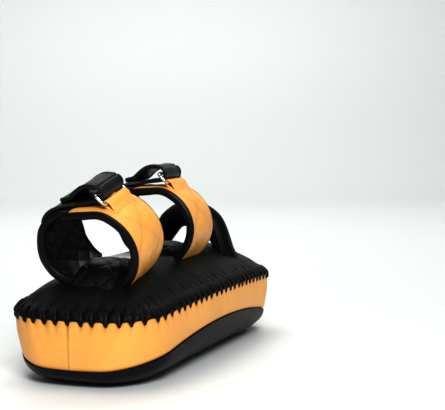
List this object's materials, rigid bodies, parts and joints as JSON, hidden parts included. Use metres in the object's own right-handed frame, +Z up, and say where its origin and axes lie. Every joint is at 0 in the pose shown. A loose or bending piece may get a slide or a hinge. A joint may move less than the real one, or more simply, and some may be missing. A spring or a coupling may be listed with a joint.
{
  "type": "thai pad",
  "caption": "Curved foam strike pad with a leather gusset, laced edge, forearm cuffs closed by ring-and-strap tabs, and a crosswise grip roll on its back.",
  "frame": {"origin": "middle of the pad on the surface that its strike face rests on", "axes": "+X along the pad from the elbow end to the hand end, +Z up out of the back, +Y across towards the strap side"},
  "size_m": [0.4064, 0.1926, 0.2197],
  "materials": {
    "black_leather": "satin black leather with a fine grain",
    "orange_leather": "golden orange leather, satin",
    "lace": "black leather lace, whip stitched",
    "quilted_lining": "black leather quilted in diamonds",
    "piping": "black leather edge binding",
    "strap_leather": "black leather with bound edges",
    "foam": "closed-cell foam, hidden",
    "hook_and_loop": "hook-and-loop fastener",
    "chrome": "polished wire",
    "label": "plain woven patch"
  },
  "bodies": {
    "pad": {"strike_cover": "black_leather", "back_cover": "black_leather", "side_band": "orange_leather", "impact_foam": "foam", "core_foam": "foam", "back_foam": "foam", "edge_lace": "lace", "grip_cover": "black_leather", "grip_core": "foam", "label_patch": "label", "elbow_orange_wing_shell": "orange_leather", "elbow_orange_wing_foam": "foam", "elbow_orange_wing_lining": "quilted_lining", "elbow_orange_piping_elbow_side": "piping", "elbow_orange_piping_hand_side": "piping", "elbow_black_wing_shell": "black_leather", "elbow_black_wing_foam": "foam", "elbow_black_wing_lining": "quilted_lining", "elbow_strap": "strap_leather", "elbow_loop_patch": "hook_and_loop", "elbow_ring_keeper": "orange_leather", "elbow_rest_pad": "quilted_lining", "wrist_orange_wing_shell": "orange_leather", "wrist_orange_wing_foam": "foam", "wrist_orange_wing_lining": "quilted_lining", "wrist_orange_piping_elbow_side": "piping", "wrist_orange_piping_hand_side": "piping", "wrist_black_wing_shell": "black_leather", "wrist_black_wing_foam": "foam", "wrist_black_wing_lining": "quilted_lining", "wrist_strap": "strap_leather", "wrist_loop_patch": "hook_and_loop", "wrist_ring_keeper": "orange_leather", "wrist_rest_pad": "quilted_lining"},
    "elbow_ring": {"elbow_ring": "chrome"},
    "elbow_tab": {"elbow_tab": "strap_leather", "elbow_hook_patch": "hook_and_loop"},
    "wrist_ring": {"wrist_ring": "chrome"},
    "wrist_tab": {"wrist_tab": "strap_leather", "wrist_hook_patch": "hook_and_loop"}
  },
  "joints": [
    {"name": "elbow_ring_tilt", "type": "hinge", "parent": "pad", "child": "elbow_ring", "pos_m": [-0.13607, -0.02344, 0.19177], "axis": [0.9761, 0.058, 0.2096], "range_deg": [-6, 6]},
    {"name": "elbow_tab_peel", "type": "hinge", "parent": "pad", "child": "elbow_tab", "pos_m": [-0.14051, -0.01667, 0.21054], "axis": [0.9761, 0.058, 0.2096], "range_deg": [0, 120]},
    {"name": "wrist_ring_tilt", "type": "hinge", "parent": "pad", "child": "wrist_ring", "pos_m": [0.01777, -0.02265, 0.19872], "axis": [0.9959, 0.0889, -0.0157], "range_deg": [-6, 6]},
    {"name": "wrist_tab_peel", "type": "hinge", "parent": "pad", "child": "wrist_tab", "pos_m": [0.01744, -0.01563, 0.21792], "axis": [0.9959, 0.0889, -0.0157], "range_deg": [0, 120]}
  ]
}
